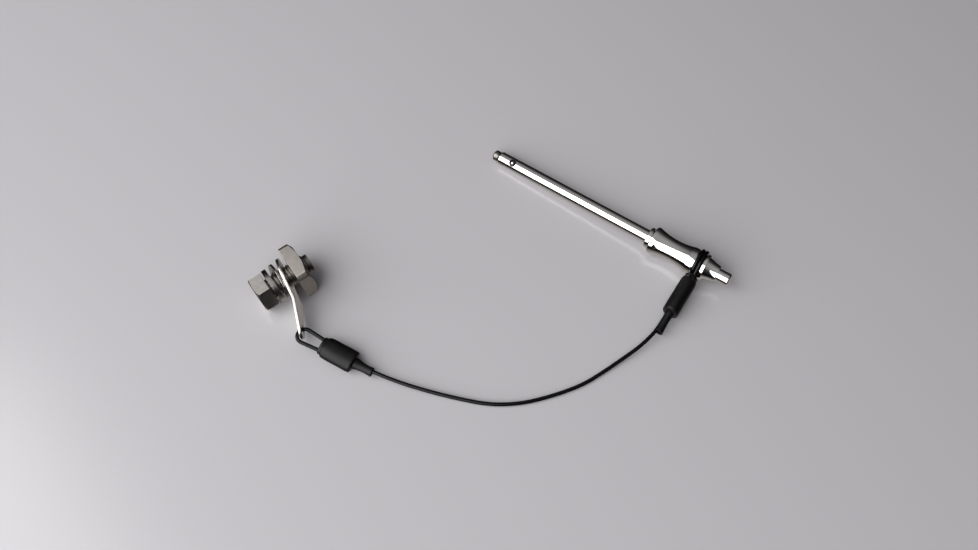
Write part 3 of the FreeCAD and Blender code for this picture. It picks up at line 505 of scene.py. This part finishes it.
# outline of the thin sleeve: share of its length, then half width and half height in mm
THIN_OUTLINE = (
    (0.0, 2.72, 2.02), (0.05, 2.78, 2.08), (0.12, 2.66, 1.98), (0.22, 2.42, 1.86),
    (0.36, 2.2, 1.82), (0.52, 2.08, 1.86), (0.68, 2.02, 1.92), (0.82, 2.04, 2.0),
    (0.93, 2.12, 2.1), (0.985, 2.18, 2.16), (1.0, 2.12, 2.1),
)


def cover(name, bm, end, node):
    """Shrink tube on the lanyard, in the place of a CAD node."""
    piece = to_piece(name, bm, SHRINK, "lanyard", end)
    crease(piece, SLEEVE_CREASE)
    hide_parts(node)
    return piece


def thick_sleeve(name, end, mouth, stop, cavity_end, node):
    """Thick shrink tube over the ferrule: rounded shoulders, a hollow mouth that takes the
    two strands, and a faint dent between them."""
    body_length = stop - mouth
    outer = [(mouth + body_length * share, WIDE * scale, HIGH * scale)
             for share, scale in THICK_OUTLINE]
    lip = (WIDE - WALL) * 0.84, (HIGH - WALL) * 0.84
    inner = [
        (stop, 2.4 * MM, 1.8 * MM),  # flat end, under the thin sleeve
        (stop, CABLE_HOLE, CABLE_HOLE),
        (cavity_end + CAVITY_GAP, CABLE_HOLE, CABLE_HOLE),
        (cavity_end + CAVITY_GAP, WIDE - WALL, HIGH - WALL),
        (mouth + 1.6 * MM, WIDE - WALL, HIGH - WALL),
        (mouth + 0.4 * MM, lip[0], lip[1]),
        (mouth, lip[0] * 1.03, lip[1] * 1.03),
    ]

    def dent(angle, station):
        if station <= mouth or station >= stop:
            return 1.0
        share = (station - mouth) / body_length
        ends = math.sin(math.pi * share) ** 0.5
        waist = 1 - 0.02 * ends * math.exp(-((abs(angle) - math.pi / 2) / 0.35) ** 2)
        return waist * (1 + 0.004 * math.sin(9 * angle + 30 * share))

    return cover(name, oval_shell(outer + inner, dent), end, node)


def thin_sleeve(name, end, start, length, node):
    """Thin shrink tube over the cable: flat where it leaves the ferrule, pinched behind it
    and open at the end."""
    outer = [(start + length * share, wide * MM, high * MM)
             for share, wide, high in THIN_OUTLINE]
    inner = [
        (start + length, 1.72 * MM, 1.72 * MM),
        (start + length * 0.98, 1.66 * MM, 1.66 * MM),
        (start, CABLE_HOLE, CABLE_HOLE),
    ]

    def wrinkle(angle, station):
        share = (station - start) / length
        if share <= 0 or share >= 0.98:
            return 1.0
        return 1 + 0.012 * math.sin(4 * angle + 5 * share) * math.sin(math.pi * share)

    return cover(name, oval_shell(outer + inner, wrinkle), end, node)


handle_sleeve = thick_sleeve("handle_shrink_sleeve", HANDLE_END, 7.7 * MM, 28.7 * MM,
                             24.4 * MM, "handle_end_sleeve")
handle_tail = thin_sleeve("handle_shrink_tail", HANDLE_END, 28.7 * MM, 10.8 * MM,
                          "handle_end_tail_sleeve")
tab_sleeve = thick_sleeve("tab_shrink_sleeve", TAB_END, 9.0 * MM, 26.0 * MM,
                          21.7 * MM, "tab_end_sleeve")
tab_tail = thin_sleeve("tab_shrink_tail", TAB_END, 26.0 * MM, 9.2 * MM,
                       "tab_end_tail_sleeve")

# ---------------------------------------------------------------- bolt with a cut thread
HEAD_HEIGHT = 6.4 * MM
BOLT_LENGTH = 22.0 * MM
THREAD_RADIUS = 5.0 * MM
THREAD_ROOT = 4.3 * MM
THREAD_PITCH = 1.5 * MM
THREAD_RUNOUT = 1.4 * MM
ROD_OVERLAP = 1 * MM
STEPS_PER_TURN = 48


def hex_bolt():
    """Hexagon head cut from the CAD solid, a root rod with a dark tint of painted shade for the
    thread's grooves, and a ridge wound along it.
    """
    bm = bmesh.new()
    bm.from_mesh(frame["nodes"]["hex_bolt"].data)
    bmesh.ops.transform(bm, matrix=BOLT.inverted(), verts=bm.verts)
    bmesh.ops.remove_doubles(bm, verts=bm.verts, dist=WELD_DISTANCE)
    cut = bmesh.ops.bisect_plane(bm, geom=bm.verts[:] + bm.edges[:] + bm.faces[:],
                                 plane_co=(0, 0, HEAD_HEIGHT + 0.05 * MM),
                                 plane_no=UP, clear_outer=True)["geom_cut"]
    rim = [item for item in cut if isinstance(item, bmesh.types.BMEdge)]
    bmesh.ops.holes_fill(bm, edges=rim, sides=0)
    for face in bm.faces:
        face.material_index = 0

    rod = bmesh.ops.create_cone(bm, cap_ends=True, segments=STEPS_PER_TURN,
                                radius1=THREAD_ROOT, radius2=THREAD_ROOT,
                                depth=BOLT_LENGTH + ROD_OVERLAP)["verts"]
    bmesh.ops.translate(bm, verts=rod, vec=UP * (HEAD_HEIGHT + (BOLT_LENGTH - ROD_OVERLAP) / 2))
    # the root rod takes the second material, the painted shade of the grooves
    for vert in rod:
        for face in vert.link_faces:
            face.material_index = 1

    turns = int((BOLT_LENGTH - THREAD_RUNOUT) / THREAD_PITCH)
    start = HEAD_HEIGHT + 0.5 * MM
    root = THREAD_ROOT - 0.05 * MM
    flank = THREAD_PITCH * 0.44
    crest = THREAD_PITCH * 0.08
    section = [bm.verts.new((radius, 0, start + station)) for radius, station in (
        (root, -flank), (THREAD_RADIUS, -crest), (THREAD_RADIUS, crest), (root, flank))]
    face = bm.faces.new(section)
    bmesh.ops.spin(bm, geom=[face] + list(face.edges) + section, cent=(0, 0, 0),
                   axis=UP, dvec=UP * THREAD_PITCH / STEPS_PER_TURN,
                   angle=2 * math.pi * turns, steps=STEPS_PER_TURN * turns,
                   use_merge=False, use_duplicate=False)
    piece = to_piece("hex_bolt_with_thread", bm, BOLT_STEEL, "bolt", BOLT)
    piece.data.materials.append(THREAD_GROOVE_SHADE)
    crease(piece, 30)
    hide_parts("hex_bolt")


hex_bolt()

for node_name in NODE_FINISH:
    dress_node(node_name)


# ---------------------------------------------------------------- rings of painted shade round the balls
SHANK_RADIUS = 3.175 * MM
SEAT_INNER, SEAT_OUTER = 1.18 * MM, 1.82 * MM
# section of the painted shade ring: distance from the ball's axis, and height over the shank's
# surface
SEAT_SECTION = (
    (SEAT_INNER, -0.12 * MM), (SEAT_INNER + 0.08 * MM, 0.0),
    ((SEAT_INNER + SEAT_OUTER) / 2, 0.05 * MM), (SEAT_OUTER - 0.06 * MM, 0.035 * MM),
    (SEAT_OUTER, -0.06 * MM),
)


def seat_shade_ring(name, side):
    """Dark ring of painted shade round a ball, where the gap round it lies in shade: its
    section is spun about the ball's axis, and the ring is then laid on the round of the shank."""
    bm = bmesh.new()
    section = [bm.verts.new((lift, 0, radius)) for radius, lift in SEAT_SECTION]
    edges = [bm.edges.new(ends) for ends in zip(section, section[1:] + section[:1])]
    bmesh.ops.spin(bm, geom=section + edges, cent=(0, 0, 0), axis=(1, 0, 0),
                   angle=2 * math.pi, steps=48, use_merge=True, use_duplicate=False)
    # the ring is half turned for the far side and not mirrored, so its faces stay outward
    bmesh.ops.recalc_face_normals(bm, faces=bm.faces)
    for vert in bm.verts:
        lift, across, lengthways = vert.co
        height = math.sqrt((SHANK_RADIUS + lift) ** 2 - across ** 2)
        vert.co = (side * height, side * across, BALL_STATION + lengthways)
    to_piece(name, bm, SEAT, "pin", PIN)


seat_shade_ring("upper_ball_seat", 1)
seat_shade_ring("lower_ball_seat", -1)

# ---------------------------------------------------------------- studio
FLOOR_HALF_SIZE = 3.0
floor_mesh = bmesh.new()
bmesh.ops.create_grid(floor_mesh, x_segments=1, y_segments=1, size=FLOOR_HALF_SIZE)
floor_data = bpy.data.meshes.new("studio_floor")
floor_mesh.to_mesh(floor_data)
floor_mesh.free()
floor_data.materials.append(studio_floor("sprayed_board"))
floor = bpy.data.objects.new("studio_floor", floor_data)
bpy.context.scene.collection.objects.link(floor)


def soft_box(name, location, width, height, power):
    """Rectangular diffused lamp that faces the middle of the table."""
    lamp = bpy.data.lights.new(name, "AREA")
    lamp.shape = "RECTANGLE"
    lamp.size, lamp.size_y = width, height
    lamp.energy = power
    holder = bpy.data.objects.new(name, lamp)
    holder.location = location
    holder.rotation_euler = (-location).to_track_quat("-Z", "Y").to_euler()
    bpy.context.scene.collection.objects.link(holder)


# a tall scrim on the near left stands on the table and leans over it: its mirror image is the
# long white band on every turned piece
SCRIM_DISTANCE = 1.2
SCRIM_DIRECTION = Vector((-0.68, -0.44, 0.588)).normalized()
soft_box("leaning_scrim", SCRIM_DIRECTION * SCRIM_DISTANCE, width=1.9, height=1.72, power=37.0)


def studio_world():
    """Dim room: a grey ceiling that falls off to near black at table height. The camera
    itself sees a pale backdrop past the table."""
    world = bpy.data.worlds.new("studio")
    world.use_nodes = True
    tree = world.node_tree
    tree.nodes.clear()
    output = tree.nodes.new("ShaderNodeOutputWorld")
    coordinates = tree.nodes.new("ShaderNodeTexCoord")
    split = add(tree, "ShaderNodeSeparateXYZ", Vector=coordinates.outputs["Generated"])
    ramp = add(tree, "ShaderNodeValToRGB", Fac=split.outputs["Z"])
    stops = ramp.color_ramp.elements
    stops[0].position, stops[0].color = 0.0, linear("#0C0C0C")
    stops[1].position, stops[1].color = 1.0, linear("#A5A4A6")
    middle = stops.new(0.55)
    middle.color = linear("#3A393A")
    light = add(tree, "ShaderNodeBackground", Color=ramp.outputs["Color"], Strength=1.0)
    backdrop = add(tree, "ShaderNodeBackground", Color=linear("#B4B2B5"), Strength=1.0)
    mixed = by_ray(tree, "Is Camera Ray", light.outputs["Background"],
                   backdrop.outputs["Background"])
    tree.links.new(mixed, output.inputs["Surface"])
    bpy.context.scene.world = world


studio_world()
bpy.context.scene.view_settings.view_transform = "Standard"

bpy.context.view_layer.update()
